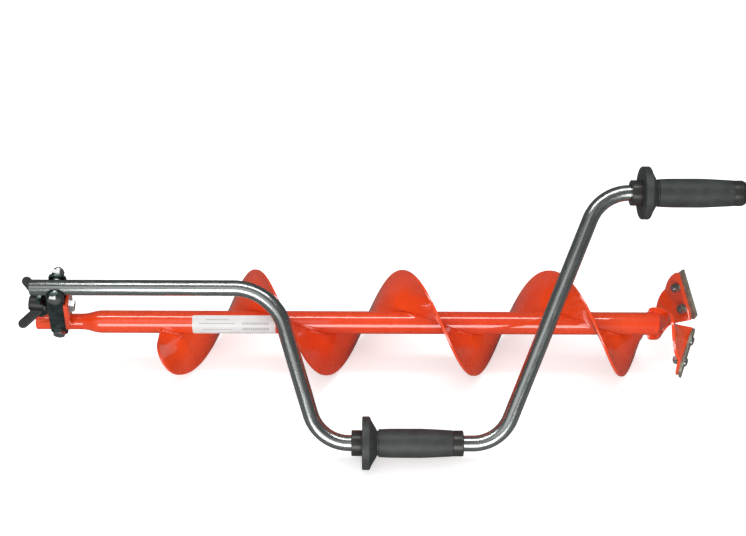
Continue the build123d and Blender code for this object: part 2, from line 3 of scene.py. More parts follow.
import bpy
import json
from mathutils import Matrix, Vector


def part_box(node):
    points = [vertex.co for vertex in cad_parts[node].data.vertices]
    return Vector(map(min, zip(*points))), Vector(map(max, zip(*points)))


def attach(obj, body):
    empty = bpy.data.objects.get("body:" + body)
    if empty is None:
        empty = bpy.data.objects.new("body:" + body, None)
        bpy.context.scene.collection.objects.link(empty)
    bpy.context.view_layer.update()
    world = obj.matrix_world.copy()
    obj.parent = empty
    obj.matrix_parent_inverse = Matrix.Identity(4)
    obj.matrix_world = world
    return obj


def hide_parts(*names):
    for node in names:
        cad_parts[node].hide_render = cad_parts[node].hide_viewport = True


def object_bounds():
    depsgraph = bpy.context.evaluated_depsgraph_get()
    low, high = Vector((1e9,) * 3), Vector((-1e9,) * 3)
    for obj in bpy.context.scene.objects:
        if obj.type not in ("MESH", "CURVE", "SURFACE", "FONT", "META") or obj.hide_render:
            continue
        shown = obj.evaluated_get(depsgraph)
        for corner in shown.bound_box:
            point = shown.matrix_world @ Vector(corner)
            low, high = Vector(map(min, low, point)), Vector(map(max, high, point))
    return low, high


bl_info = {
    "name": "Ice auger",
    "version": (1, 0, 0),
    "blender": (4, 5, 0),
    "location": "3D View > Sidebar > Auger",
    "description": "Builds a folded ice auger with its materials, floor, lights and camera",
    "category": "Mesh",
}

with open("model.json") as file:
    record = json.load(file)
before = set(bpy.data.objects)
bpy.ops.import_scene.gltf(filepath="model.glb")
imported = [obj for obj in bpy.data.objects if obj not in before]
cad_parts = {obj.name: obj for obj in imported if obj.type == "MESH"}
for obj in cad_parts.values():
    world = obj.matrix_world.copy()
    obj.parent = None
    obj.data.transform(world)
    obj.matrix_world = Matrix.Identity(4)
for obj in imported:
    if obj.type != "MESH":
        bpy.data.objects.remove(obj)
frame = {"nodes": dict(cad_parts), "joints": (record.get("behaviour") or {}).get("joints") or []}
cad_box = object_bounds()

import json
import math

import bmesh
import bpy
from bpy.props import FloatProperty, FloatVectorProperty, IntProperty, PointerProperty
from mathutils import Matrix, Vector
from mathutils.kdtree import KDTree

MM = 0.001
TURN = 2 * math.pi

# The frame's own places and directions
joints = {joint["name"]: joint for joint in frame["joints"]}
ALONG = Vector((1, 0, 0))
neck_pivot = Vector(joints["link_fold"]["pos_m"])
handle_pivot = Vector(joints["handle_fold"]["pos_m"])
pivot_way = Vector(joints["link_fold"]["axis"])
clamp_way = -Vector(joints["clamp_travel"]["axis"])
link_way = (handle_pivot - neck_pivot).normalized()
link_centres = (handle_pivot - neck_pivot).length
rise = Vector(joints["upper_grip_spin"]["pos_m"]) - handle_pivot
UP = (rise - ALONG * rise.dot(ALONG)).normalized()
FRONT = ALONG.cross(UP)
neck_end = Vector((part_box("auger_tube")[0][0], neck_pivot.y, neck_pivot.z))


def placed(origin, x_way, z_way):
    """Matrix of a frame at a point, from its x and z directions."""
    z_way = z_way.normalized()
    x_way = (x_way - z_way * x_way.dot(z_way)).normalized()
    turn = Matrix((x_way, z_way.cross(x_way), z_way)).transposed()
    return Matrix.Translation(origin) @ turn.to_4x4()


SCREW = placed(neck_end, UP, ALONG)
HINGE = placed(neck_pivot, link_way, pivot_way)
CRANK = placed(handle_pivot, ALONG, FRONT)
CLAMP = placed((neck_pivot + handle_pivot) / 2, UP, clamp_way)


def length(name, description, millimetres):
    """A size that shows in the scene's units."""
    return FloatProperty(
        name=name, description=description, default=millimetres * MM, min=0.0, unit="LENGTH", precision=5
    )


def angle(name, description, degrees):
    return FloatProperty(
        name=name, description=description, default=math.radians(degrees), unit="ROTATION"
    )


def colour(name, description, *value):
    return FloatVectorProperty(
        name=name, description=description, default=value, min=0.0, max=1.0, size=3, subtype="COLOR"
    )


class ScrewSizes(bpy.types.PropertyGroup):
    """Sizes of the screw's tube and flight."""

    tube_diameter: length("Tube diameter", "Outside diameter of the screw's tube", 27)
    neck_diameter: length("Neck diameter", "Outside diameter of the neck at the hinge", 19)
    wall: length("Wall", "Thickness of the tube's wall", 2)
    neck_length: length("Neck length", "Length of the thin part of the tube", 59.5)
    taper: length("Taper", "Length over which the tube is swaged down", 12)
    tube_length: length("Tube length", "Whole length of the screw's tube", 738)
    flight_diameter: length("Flight diameter", "Outside diameter of the flight", 126)
    pitch: length("Pitch", "Advance of the flight in one turn", 175)
    flight_start: length("Flight start", "Distance of the flight from the neck's end", 148)
    flight_length: length("Flight length", "Length of the flight along the tube", 579)
    first_crest: length("First crest", "Distance from the neck's end to the first crest", 259.5)
    flight_thickness: length("Flight thickness", "Thickness of the flight's sheet", 3)
    start_edge: length("Start edge", "Radius to which the flight's start is straight", 36)
    start_round: length("Start round", "Length over which the flight's start reaches its full radius", 21)
    weld: length("Weld", "Size of the weld beads at the flight's root", 3.2)
    label_start: length("Label start", "Distance of the label from the neck's end", 186)
    label_length: length("Label length", "Length of the label along the tube", 98)
    label_first: angle("Label edge", "Angle of the label's first edge round the tube", 52)
    label_arc: angle("Label arc", "Angle that the label covers", 150)


class HingeSizes(bpy.types.PropertyGroup):
    """Sizes of the link, its bolts and the clamp."""

    link_width: length("Link width", "Width of a link plate", 20)
    link_thickness: length("Link thickness", "Thickness of a link plate", 3.5)
    link_inside: length("Link inside", "Distance of a plate's inner face from the middle", 9.8)
    bolt: length("Bolt", "Diameter of the hinge bolts", 8)
    flats: length("Flats", "Width of the bolt heads and nuts across their flats", 13)
    head: length("Head", "Height of the bolt heads", 5.3)
    lock_nut: length("Lock nut", "Height of the lock nuts", 8)
    washer: length("Washer", "Outside diameter of the washers", 16)
    washer_thickness: length("Washer thickness", "Thickness of the washers", 1.6)
    saddle_back: length("Saddle back", "Distance of the saddle's back from the middle", 13.1)
    knob_start: length("Knob start", "Distance of the knob's foot from the middle", 15.9)
    knob_diameter: length("Knob diameter", "Diameter of the knob's hub", 18.5)
    knob_length: length("Knob length", "Length of the knob's hub", 17.5)
    stud_in_knob: length("Stud in knob", "Length of the clamp bolt inside the knob", 7)
    wing_radius: length("Wing radius", "Distance of a wing's tip centre from the knob's axis", 24.5)
    wing_ahead: length("Wing ahead", "Distance of a wing's tip centre past the knob's foot", 22)
    wing_width: length("Wing width", "Width of a wing at its tip", 11)
    wing_thickness: length("Wing thickness", "Thickness of a wing", 5.5)


class HandleSizes(bpy.types.PropertyGroup):
    """Sizes of the cranked handle."""

    diameter: length("Diameter", "Outside diameter of the handle's tube", 18)
    wall: length("Wall", "Thickness of the handle tube's wall", 1.5)
    tail: length("Tail", "Length of tube past the hinge bolt", 28.7)
    first_leg: length("First leg", "Distance from the hinge to the first corner", 244.5)
    first_angle: angle("First angle", "Slope of the first leg", 73.2)
    drop: length("Drop", "Height of the hinge's run over the lower grip's run", 174)
    lower_run: length("Lower run", "Length of the lower run between its corners", 204.3)
    second_angle: angle("Second angle", "Slope of the second leg", 68.4)
    rise: length("Rise", "Height of the upper grip over the hinge's run", 109)
    first_bend: length("First bend", "Radius of the first bend", 60)
    middle_bend: length("Middle bends", "Radius of the second and third bends", 46)
    last_bend: length("Last bend", "Radius of the last bend", 48)
    grip_length: length("Grip length", "Whole length of a grip with its collars", 126)
    collar: length("Collar", "Length of a grip's collar", 12)
    collar_diameter: length("Collar diameter", "Outside diameter of the collars", 29)
    flange: length("Flange", "Outside diameter of a grip's hand flange", 60)
    flange_thickness: length("Flange thickness", "Thickness of the flange's rim", 9)
    grip_diameter: length("Grip diameter", "Outside diameter of a grip at its middle", 33.2)


class Colours(bpy.types.PropertyGroup):
    """Colours of the finishes."""

    paint: colour("Paint", "Orange-red paint of the screw", 0.72, 0.056, 0.008)
    paint_shade: colour("Paint shade", "Thicker and deeper places in the paint", 0.64, 0.036, 0.006)
    plating: colour("Plating", "Bright plating of the handle", 0.52, 0.55, 0.54)
    zinc: colour("Zinc", "Zinc of the fasteners", 0.62, 0.64, 0.63)
    plates: colour("Plates", "Dark zinc of the link plates", 0.10, 0.14, 0.135)
    steel: colour("Steel", "Blade steel", 0.27, 0.255, 0.205)
    ground: colour("Ground edge", "Ground bevel of the blades", 0.42, 0.41, 0.38)
    grip: colour("Grip", "Charcoal of the grips", 0.030, 0.034, 0.033)
    collar: colour("Collar", "Hard plastic of the collars", 0.024, 0.023, 0.021)
    knob: colour("Knob", "Moulded plastic of the knob", 0.011, 0.012, 0.011)
    nylon: colour("Nylon", "Ring in the lock nuts", 0.03, 0.16, 0.20)
    paper: colour("Paper", "Label paper", 0.63, 0.63, 0.62)
    brass: colour("Brass", "Threaded insert of the knob", 0.62, 0.46, 0.20)
    floor: colour("Floor", "Floor under the auger", 0.90, 0.90, 0.90)


class AugerSettings(bpy.types.PropertyGroup):
    """All sizes and colours of the auger."""

    screw: PointerProperty(type=ScrewSizes)
    hinge: PointerProperty(type=HingeSizes)
    handle: PointerProperty(type=HandleSizes)
    colours: PointerProperty(type=Colours)
    round_steps: IntProperty(
        name="Round steps", description="Faces round a turned piece", default=64, min=12, max=256
    )
    lens: FloatProperty(name="Lens", description="Focal length of the camera in mm", default=56.7)
    distance: length("Camera distance", "Distance of the camera from the auger", 1400)


# Modelling steps
def wake(obj):
    """Makes an object the only one that is selected, and the active one."""
    bpy.ops.object.select_all(action="DESELECT")
    obj.hide_set(False)
    obj.select_set(True)
    bpy.context.view_layer.objects.active = obj


def opened(obj, action="SELECT"):
    """Opens an object in edit mode with everything selected or nothing."""
    wake(obj)
    bpy.ops.object.mode_set(mode="EDIT")
    bpy.ops.mesh.select_mode(type="VERT")
    bpy.ops.mesh.select_all(action=action)


def closed():
    bpy.ops.object.mode_set(mode="OBJECT")


def pick(obj, kind, test):
    """Opens an object and selects its points, edges or faces that pass a test."""
    opened(obj, "DESELECT")
    bpy.ops.mesh.select_mode(type=kind)
    mesh = bmesh.from_edit_mesh(obj.data)
    for item in {"VERT": mesh.verts, "EDGE": mesh.edges, "FACE": mesh.faces}[kind]:
        if test(item):
            item.select_set(True)
    mesh.select_flush_mode()
    bmesh.update_edit_mesh(obj.data)


def named(name):
    """Names the primitive that was just added."""
    obj = bpy.context.object
    obj.name = name
    obj.data.name = name
    return obj


def primitive(kind, name, scale=(1, 1, 1), **settings):
    """Adds a primitive with its place, turn and scale in its mesh."""
    bpy.ops.object.select_all(action="DESELECT")
    getattr(bpy.ops.mesh, "primitive_" + kind + "_add")(**settings)
    obj = named(name)
    obj.scale = scale
    bpy.ops.object.transform_apply(location=True, rotation=True, scale=True)
    return obj


def modify(obj, kind, **settings):
    """Adds a modifier and applies it."""
    wake(obj)
    bpy.ops.object.modifier_add(type=kind)
    modifier = obj.modifiers[-1]
    for key, value in settings.items():
        setattr(modifier, key, value)
    bpy.ops.object.modifier_apply(modifier=modifier.name)


def face_outwards():
    """Selects the whole open mesh and turns its faces outwards."""
    bpy.ops.mesh.select_all(action="SELECT")
    bpy.ops.mesh.normals_make_consistent(inside=False)


def rounded(obj, width, segments=2, limit=35):
    """Rounds the sharp edges."""
    modify(
        obj, "BEVEL", width=width, segments=segments, limit_method="ANGLE",
        angle_limit=math.radians(limit), use_clamp_overlap=True,
    )


def trace(name, points, loop=False):
    """A line through points, drawn point by point from a plane that is merged to one point."""
    obj = primitive("plane", name, size=MM)
    opened(obj)
    bpy.ops.mesh.merge(type="CENTER")
    bpy.ops.transform.translate(value=points[0])
    for here, there in zip(points, points[1:]):
        step = Vector(there) - Vector(here)
        bpy.ops.mesh.extrude_region_move(TRANSFORM_OT_translate={"value": step})
    if loop:
        ends = (Vector(points[0]), Vector(points[-1]))
        closed()
        pick(obj, "VERT", lambda point: min((point.co - end).length for end in ends) < MM / 100)
        bpy.ops.mesh.edge_face_add()
    closed()
    return obj


def soften(obj, corner, reach, segments=5):
    """Rounds one corner of a traced line."""
    pick(obj, "VERT", lambda point: (point.co - Vector(corner)).length < MM / 100)
    bpy.ops.mesh.bevel(affect="VERTICES", offset=reach, offset_type="OFFSET", segments=segments)
    closed()


def turned(name, outline, corners=(), steps=None, loop=True):
    """A turned piece round z, from an outline of radius and height pairs and its rounded corners."""
    settings = bpy.context.scene.auger
    obj = trace(name, [(radius, 0, height) for radius, height in outline], loop)
    for index, reach in corners:
        radius, height = outline[index]
        soften(obj, (radius, 0, height), reach)
    opened(obj)
    bpy.ops.mesh.spin(steps=steps or settings.round_steps, angle=TURN, center=(0, 0, 0), axis=(0, 0, 1))
    bpy.ops.mesh.select_all(action="SELECT")
    bpy.ops.mesh.remove_doubles(threshold=MM / 200)
    face_outwards()
    closed()
    return obj


def long_bar(name, radius, reach, thickness, start, steps):
    """A flat bar along x with round ends, the first one round z, from a height."""
    bar = primitive(
        "circle", name, vertices=steps, radius=radius, fill_type="NGON", location=(0, 0, start),
        rotation=(0, 0, math.pi / steps),
    )
    pick(bar, "VERT", lambda point: point.co.x > 0)
    bpy.ops.transform.translate(value=(reach, 0, 0))
    bpy.ops.mesh.select_all(action="SELECT")
    bpy.ops.mesh.extrude_region_move(TRANSFORM_OT_translate={"value": (0, 0, thickness)})
    face_outwards()
    closed()
    return bar


def joined(name, pieces):
    """Several objects as one."""
    wake(pieces[0])
    for piece in pieces[1:]:
        piece.select_set(True)
    bpy.ops.object.join()
    return named(name)


def fixed(pieces):
    """Moves the place of each piece into its mesh."""
    for piece in pieces:
        wake(piece)
        bpy.ops.object.transform_apply(location=True, rotation=True, scale=True)


def discard(*pieces):
    for piece in pieces:
        bpy.data.objects.remove(piece)


def cut(obj, other, operation):
    """A boolean with another piece, which is used up."""
    modify(obj, "BOOLEAN", object=other, operation=operation, solver="EXACT")
    discard(other)


def duplicate(obj, name):
    copy = bpy.data.objects.new(name, obj.data.copy())
    bpy.context.scene.collection.objects.link(copy)
    return copy


def copied(node, name, merge=MM / 1000):
    """A copy of a CAD node's mesh, with its triangles merged and its flat faces made whole."""
    obj = duplicate(frame["nodes"][node], name)
    obj.data.materials.clear()
    opened(obj)
    bpy.ops.mesh.remove_doubles(threshold=merge)
    bpy.ops.mesh.dissolve_limited(angle_limit=math.radians(1))
    closed()
    return obj


def settle(obj, body, finish, place=None, stands_for=(), smooth=32):
    """Puts a finished piece in place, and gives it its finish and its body."""
    if place is not None:
        obj.matrix_world = place
    fixed([obj])
    bpy.ops.object.shade_smooth_by_angle(angle=math.radians(smooth))
    if finish is not None:
        obj.data.materials.clear()
        obj.data.materials.append(finish)
    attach(obj, body)
    if stands_for:
        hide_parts(*stands_for)
    return obj


def coat_node(name, finish):
    """Gives a CAD node that is shown as it is its finish."""
    mesh = frame["nodes"][name].data
    mesh.materials.clear()
    mesh.materials.append(finish)


# Finishes
def node(material, kind, inputs=(), **settings):
    made = material.node_tree.nodes.new("ShaderNode" + kind)
    for key, value in settings.items():
        setattr(made, key, value)
    for key, value in dict(inputs).items():
        if hasattr(value, "is_linked"):
            material.node_tree.links.new(value, made.inputs[key])
        else:
            made.inputs[key].default_value = value
    return made


def wired(material, output, key):
    shader = material.node_tree.nodes["Principled BSDF"]
    material.node_tree.links.new(output, shader.inputs[key])


def surface(
    name, low, high, roughness, patch=30.0, grain=700.0, stretch=(1, 1, 1), bump=0.1, depth=0.05 * MM,
    metallic=0.0, coat=0.0, coat_roughness=0.05, coat_ior=1.5, specular=0.5, attribute=None,
    balance=(0.35, 0.65),
):
    """A finish with two mixed colours in patches, and a grain in its roughness and relief."""
    material = bpy.data.materials.get(name)
    if material:
        return material
    material = bpy.data.materials.new(name)
    material.use_nodes = True
    shader = material.node_tree.nodes["Principled BSDF"]
    shader.inputs["Metallic"].default_value = metallic
    shader.inputs["Coat Weight"].default_value = coat
    shader.inputs["Coat Roughness"].default_value = coat_roughness
    shader.inputs["Coat IOR"].default_value = coat_ior
    shader.inputs["Specular IOR Level"].default_value = specular
    if attribute:
        place = node(material, "Attribute", attribute_name=attribute).outputs["Vector"]
    else:
        place = node(material, "TexCoord").outputs["Object"]
    mapped = node(material, "Mapping", {"Vector": place, "Scale": stretch}).outputs["Vector"]
    patches = node(
        material, "TexNoise", {"Vector": mapped, "Scale": patch, "Detail": 4.0, "Roughness": 0.6}
    )
    ramp = node(material, "ValToRGB", {"Fac": patches.outputs["Fac"]})
    ramp.color_ramp.elements[0].position = balance[0]
    ramp.color_ramp.elements[1].position = balance[1]
    ramp.color_ramp.elements[0].color = (*low, 1)
    ramp.color_ramp.elements[1].color = (*high, 1)
    wired(material, ramp.outputs["Color"], "Base Color")
    grains = node(
        material, "TexNoise", {"Vector": mapped, "Scale": grain, "Detail": 3.0, "Roughness": 0.55}
    )
    shine = node(
        material, "MapRange",
        {"Value": grains.outputs["Fac"], "From Min": 0.3, "From Max": 0.7,
         "To Min": roughness[0], "To Max": roughness[1]},
    )
    wired(material, shine.outputs["Result"], "Roughness")
    relief = node(
        material, "Bump", {"Height": grains.outputs["Fac"], "Strength": bump, "Distance": depth}
    )
    wired(material, relief.outputs["Normal"], "Normal")
    return material


def tones(name, low, high):
    """A darker and a lighter tone of one of the colours."""
    base = getattr(bpy.context.scene.auger.colours, name)
    return [tuple(part * amount for part in base) for amount in (low, high)]


def painted():
    colours = bpy.context.scene.auger.colours
    return surface(
        "orange-red gloss paint", colours.paint_shade, colours.paint, (0.24, 0.34), patch=9, grain=110,
        bump=0.05, depth=0.10 * MM, coat=1.0, coat_roughness=0.045, coat_ior=1.75, specular=0.25,
        balance=(0.30, 0.60),
    )


def zinced():
    return surface(
        "bright zinc", *tones("zinc", 0.62, 1.0), (0.20, 0.42), patch=260, grain=1500, bump=0.25,
        depth=0.04 * MM, metallic=1.0,
    )


def dark_zinced():
    return surface(
        "dark zinc", *tones("plates", 0.55, 1.7), (0.26, 0.5), patch=120, grain=900, bump=0.3,
        depth=0.06 * MM, metallic=1.0,
    )


def plated():
    return surface(
        "bright plating", *tones("plating", 0.82, 1.12), (0.20, 0.32), patch=18, grain=420,
        stretch=(0.12, 1, 1), bump=0.07, depth=0.03 * MM, metallic=1.0, attribute="skin",
    )


def nylon():
    return surface(
        "nylon", *tones("nylon", 0.7, 1.3), (0.3, 0.45), patch=200, grain=1200, bump=0.15,
        depth=0.03 * MM,
    )


def brass():
    return surface(
        "insert brass", *tones("brass", 0.7, 1.0), (0.25, 0.4), patch=200, grain=1200, bump=0.2,
        depth=0.04 * MM, metallic=1.0,
    )


def hard_black():
    return surface(
        "hard collar plastic", *tones("collar", 0.7, 1.3), (0.22, 0.42), patch=90, grain=1300,
        bump=0.2, depth=0.03 * MM,
    )


def moulded_black():
    return surface(
        "moulded knob plastic", *tones("knob", 0.75, 1.5), (0.34, 0.5), patch=110, grain=1900,
        bump=0.4, depth=0.05 * MM,
    )


def rubbery():
    return surface(
        "charcoal grip", *tones("grip", 0.8, 1.25), (0.46, 0.62), patch=60, grain=2200, bump=0.45,
        depth=0.08 * MM,
    )


def blade_steel():
    return surface(
        "blade steel", *tones("steel", 0.7, 1.3), (0.42, 0.6), patch=150, grain=900, bump=0.2,
        depth=0.06 * MM, metallic=0.6,
    )


def ground_steel():
    return surface(
        "ground edge", *tones("ground", 0.7, 1.0), (0.18, 0.36), patch=300, grain=1500,
        stretch=(1, 0.15, 0.15), bump=0.35, depth=0.04 * MM, metallic=1.0,
    )


def label_paper():
    return surface(
        "label paper", *tones("paper", 0.93, 1.0), (0.32, 0.45), patch=45, grain=900, bump=0.1,
        depth=0.03 * MM, attribute="flat",
    )


def pale_floor():
    return surface(
        "pale floor", *tones("floor", 0.98, 1.0), (0.7, 0.8), patch=2, grain=40, bump=0.0
    )


# The screw
class BuildScrewTube(bpy.types.Operator):
    """Turns the swaged tube of the screw, open at both ends"""

    bl_idname = "auger.screw_tube"
    bl_label = "Screw tube"

    def execute(self, context):
        size = context.scene.auger.screw
        neck, tube = size.neck_diameter / 2, size.tube_diameter / 2
        shoulder = size.neck_length + size.taper
        outline = (
            (neck, 0), (neck, size.neck_length), (tube, shoulder), (tube, size.tube_length),
            (tube - size.wall, size.tube_length), (tube - size.wall, shoulder),
            (neck - size.wall, size.neck_length), (neck - size.wall, 0),
        )
        lip, swage = 0.6 * MM, 6 * MM
        corners = ((0, lip), (1, swage), (2, swage), (3, lip), (4, lip), (7, lip))
        tube = turned("screw_tube", outline, corners)
        settle(tube, "auger", painted(), SCREW, ["auger_tube"])
        return {"FINISHED"}


def helix_turn(size, distance):
    """Angle of the flight's helix at a distance along the screw."""
    return (distance - size.first_crest) / size.pitch * TURN


def on_helix(size, radius, distance, shift=0.0):
    """Point on the flight's helix at a distance along the screw, in the screw's frame."""
    turn = helix_turn(size, distance)
    return Vector((radius * math.cos(turn), radius * math.sin(turn), distance + shift))


class BuildFlight(bpy.types.Operator):
    """Winds the flight from an edge, cuts its end askew and gives it its thickness"""

    bl_idname = "auger.flight"
    bl_label = "Flight"

    def execute(self, context):
        size = context.scene.auger.screw
        start = helix_turn(size, size.flight_start)
        sunk, inset = 0.1 * MM, 0.02 * MM
        root, rim = size.tube_diameter / 2 - sunk, size.flight_diameter / 2 - inset
        way = Vector((math.cos(start), math.sin(start), 0))
        inner, outer = way * root, way * rim
        height = Vector((0, 0, size.flight_start))
        flight = trace("flight", [inner + height, inner.lerp(outer, 0.5) + height, outer + height])
        turns = size.flight_length / size.pitch
        steps = round(turns * 180)
        modify(
            flight, "SCREW", axis="Z", angle=turns * TURN, screw_offset=size.flight_length,
            steps=steps, render_steps=steps, use_merge_vertices=False,
        )
        for point in flight.data.vertices:
            share = min(1.0, (point.co.z - size.flight_start) / size.start_round)
            bow = math.sqrt(max(0.0, 1 - (1 - share) ** 2))
            reach = size.start_edge + (rim - size.start_edge) * bow
            radius = point.co.xy.length
            pulled = root + (radius - root) * (reach - root) / (rim - root)
            point.co.xy = point.co.xy * pulled / radius
        end = size.flight_start + size.flight_length
        reach = Vector((0.96 * rim - size.tube_diameter / 2, 0, 0.23 * rim + MM))
        opened(flight)
        bpy.ops.mesh.bisect(
            plane_co=(-size.tube_diameter / 2, 0, end + MM),
            plane_no=(-reach.z, 0, reach.x), clear_outer=True,
        )
        closed()
        modify(flight, "SOLIDIFY", thickness=size.flight_thickness, offset=0.0)
        rounded(flight, 0.7 * MM, 3, 50)
        settle(flight, "auger", painted(), SCREW, ["auger_flight"], smooth=50)
        return {"FINISHED"}


class BuildWelds(bpy.types.Operator):
    """Lays the weld beads at the flight's root"""

    bl_idname = "auger.welds"
    bl_label = "Welds"

    def execute(self, context):
        size = context.scene.auger.screw
        drop = primitive(
            "ico_sphere", "weld_drop", scale=(1.0, 1.15, 0.9), subdivisions=2, radius=size.weld / 2
        )
        radius = size.tube_diameter / 2 + 0.7 * MM
        aside = size.flight_thickness / 2 + 0.9 * MM
        drop_step, wobble = 1.45 * MM, 0.25 * MM
        long_bead, short_bead = 13, 12
        # Start, number of drops and side of each bead: long ones at both ends, short ones at each half turn
        ends = (size.flight_start + MM, size.flight_start + size.flight_length - 19 * MM)
        beads = [(ends[0], long_bead, side) for side in (1, -1)]
        for half in range(1, 7):
            for back, side in ((0.08, -1), (0.0, 1)):
                beads.append((size.flight_start + (half / 2 - back) * size.pitch, short_bead, side))
        beads += [(ends[1], long_bead, side) for side in (1, -1)]
        drops = []
        for number, (begin, count, side) in enumerate(beads):
            for index in range(count):
                sway = wobble * math.sin(2.1 * index + 1.7 * number)
                point = on_helix(size, radius + sway, begin + drop_step * index, side * aside)
                piece = duplicate(drop, "weld_drop")
                piece.location = point
                piece.rotation_euler = (0, 0, math.atan2(point.y, point.x))
                drops.append(piece)
        discard(drop)
        fixed(drops)
        welds = joined("flight_welds", drops)
        modify(welds, "REMESH", mode="VOXEL", voxel_size=0.45 * MM)
        modify(welds, "SMOOTH", factor=0.5, iterations=2)
        settle(welds, "auger", painted(), SCREW, smooth=180)
        return {"FINISHED"}


class BuildWings(bpy.types.Operator):
    """Rounds the edges of the two wings that carry the blades"""

    bl_idname = "auger.wings"
    bl_label = "Wings"

    def execute(self, context):
        for letter in "ab":
            wing = copied("blade_holder_" + letter, "wing_" + letter)
            rounded(wing, 0.9 * MM, 3, 40)
            settle(
                wing, "auger", painted(), None, ["blade_holder_" + letter], smooth=50
            )
        return {"FINISHED"}


class BuildBlades(bpy.types.Operator):
    """Makes the two blades, with a bright ground bevel on dark steel"""

    bl_idname = "auger.blades"
    bl_label = "Blades"

    def execute(self, context):
        for letter in "ab":
            blade = copied("blade_" + letter, "cutter_" + letter)
            rounded(blade, 0.22 * MM, 2, 25)
            blade.data.materials.append(blade_steel())
            blade.data.materials.append(ground_steel())
            flat = max(blade.data.polygons, key=lambda face: face.area).normal
            steepest, flattest, ahead = 0.80, 0.97, 0.3
            for face in blade.data.polygons:
                lean = abs(face.normal.dot(flat))
                is_bevel = steepest < lean < flattest and face.normal.x > ahead
                face.material_index = 1 if is_bevel else 0
            settle(blade, "auger", None, None, ["blade_" + letter])
        return {"FINISHED"}


def hex_blank(name, flats, height, chamfer, both=False):
    """A hexagon with its corners turned down, standing on z 0."""
    corner = flats / math.sqrt(3)
    blank = primitive(
        "cylinder", name, vertices=6, radius=corner, depth=height, location=(0, 0, height / 2),
        end_fill_type="NGON",
    )
    face, past = 0.47 * flats, corner + 0.1 * MM
    outline = [(0, height), (face, height), (past, height - chamfer)]
    if both:
        outline += [(past, chamfer), (face, 0)]
    else:
        outline += [(past, -MM), (face, -MM)]
    outline.append((0, outline[-1][1]))
    cut(blank, turned("cone", outline), "INTERSECT")
    return blank


def threaded(name, diameter, start, end, pitch):
    """A threaded rod round z between two heights."""
    crest, root = diameter / 2, diameter / 2 - 0.54 * pitch
    outline = [(0, start), (crest, start)]
    height = start
    while height + pitch < end - 0.4 * pitch:
        outline += [(root, height + pitch / 2), (crest, height + pitch)]
        height += pitch
    outline += [(crest, end - 0.6 * MM), (root, end), (0, end)]
    return turned(name, outline, steps=32)


def ring(name, outside, inside, start, thickness, edge=0.25 * MM):
    """A flat ring round z."""
    outline = ((inside, start), (outside, start), (outside, start + thickness), (inside, start + thickness))
    return turned(name, outline, [(index, edge) for index in range(4)])


def island_centres(node_name):
    """Middle of each loose solid of a CAD node."""
    probe = duplicate(frame["nodes"][node_name], "probe")
    opened(probe)
    bpy.ops.mesh.remove_doubles(threshold=MM / 1000)
    closed()
    wake(probe)
    bpy.ops.mesh.separate(type="LOOSE")
    centres = []
    for piece in list(bpy.context.selected_objects):
        points = [point.co for point in piece.data.vertices]
        low = Vector([min(point[axis] for point in points) for axis in range(3)])
        high = Vector([max(point[axis] for point in points) for axis in range(3)])
        centres.append((low + high) / 2)
        discard(piece)
    return centres


def blade_normals():
    """Direction out of each blade's front face, towards the ice."""
    normals = []
    for letter in "ab":
        faces = frame["nodes"]["blade_" + letter].data.polygons
        sums = {}
        for face in faces:
            key = tuple(round(part, 2) for part in face.normal)
            sums[key] = sums.get(key, 0) + face.area
        normals.append(Vector(max((key for key in sums if key[0] > 0.3), key=sums.get)).normalized())
    return normals


class BuildBladeFasteners(bpy.types.Operator):
    """Makes the blade screws with their washers and nuts"""

    bl_idname = "auger.blade_fasteners"
    bl_label = "Blade fasteners"

    def execute(self, context):
        normals = blade_normals()
        boxes = [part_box("blade_" + letter) for letter in "ab"]
        middles = [(Vector(low) + Vector(high)) / 2 for low, high in boxes]
        head_radius, head_edge, head_top = 5.5 * MM, 1.4 * MM, 3.2 * MM
        head = turned(
            "screw_head",
            ((0, 0), (head_radius, 0), (head_radius, head_edge), (3.4 * MM, head_top), (0, head_top)),
            ((1, 0.2 * MM), (2, 0.9 * MM), (3, 0.8 * MM)), steps=40,
        )
        socket = primitive(
            "cylinder", "socket", vertices=6, radius=2.3 * MM, depth=4 * MM, location=(0, 0, 3.4 * MM),
            end_fill_type="NGON",
        )
        cut(head, socket, "DIFFERENCE")
        nut_height, washer_height = 5 * MM, 1.6 * MM
        nut = hex_blank("nut", 10 * MM, nut_height, 0.8 * MM, both=True)
        shank = threaded("shank", 6 * MM, -1.5 * MM, 14 * MM, 1.0 * MM)
        washer = ring("washer", 6 * MM, 3.15 * MM, 0, washer_height)
        # Models of each group, the node whose solids give its places, and its shift from their middles
        groups = {
            "blade_washers": ([washer], "blade_washers", -washer_height / 2),
            "blade_nuts": ([nut, shank], "blade_nuts", -nut_height / 2),
            "blade_screws": ([head], "blade_nuts", 10.25 * MM),
        }
        for name, (models, beside, shift) in groups.items():
            pieces = []
            for centre in island_centres(beside):
                nearest = min((0, 1), key=lambda index: (centre - middles[index]).length)
                place = placed(centre, UP, normals[nearest]) @ Matrix.Translation((0, 0, shift))
                for model in models:
                    piece = duplicate(model, name)
                    piece.matrix_world = place
                    pieces.append(piece)
            fixed(pieces)
            settle(joined(name + "_set", pieces), "auger", zinced(), None, [name])
        discard(head, nut, shank, washer)
        return {"FINISHED"}


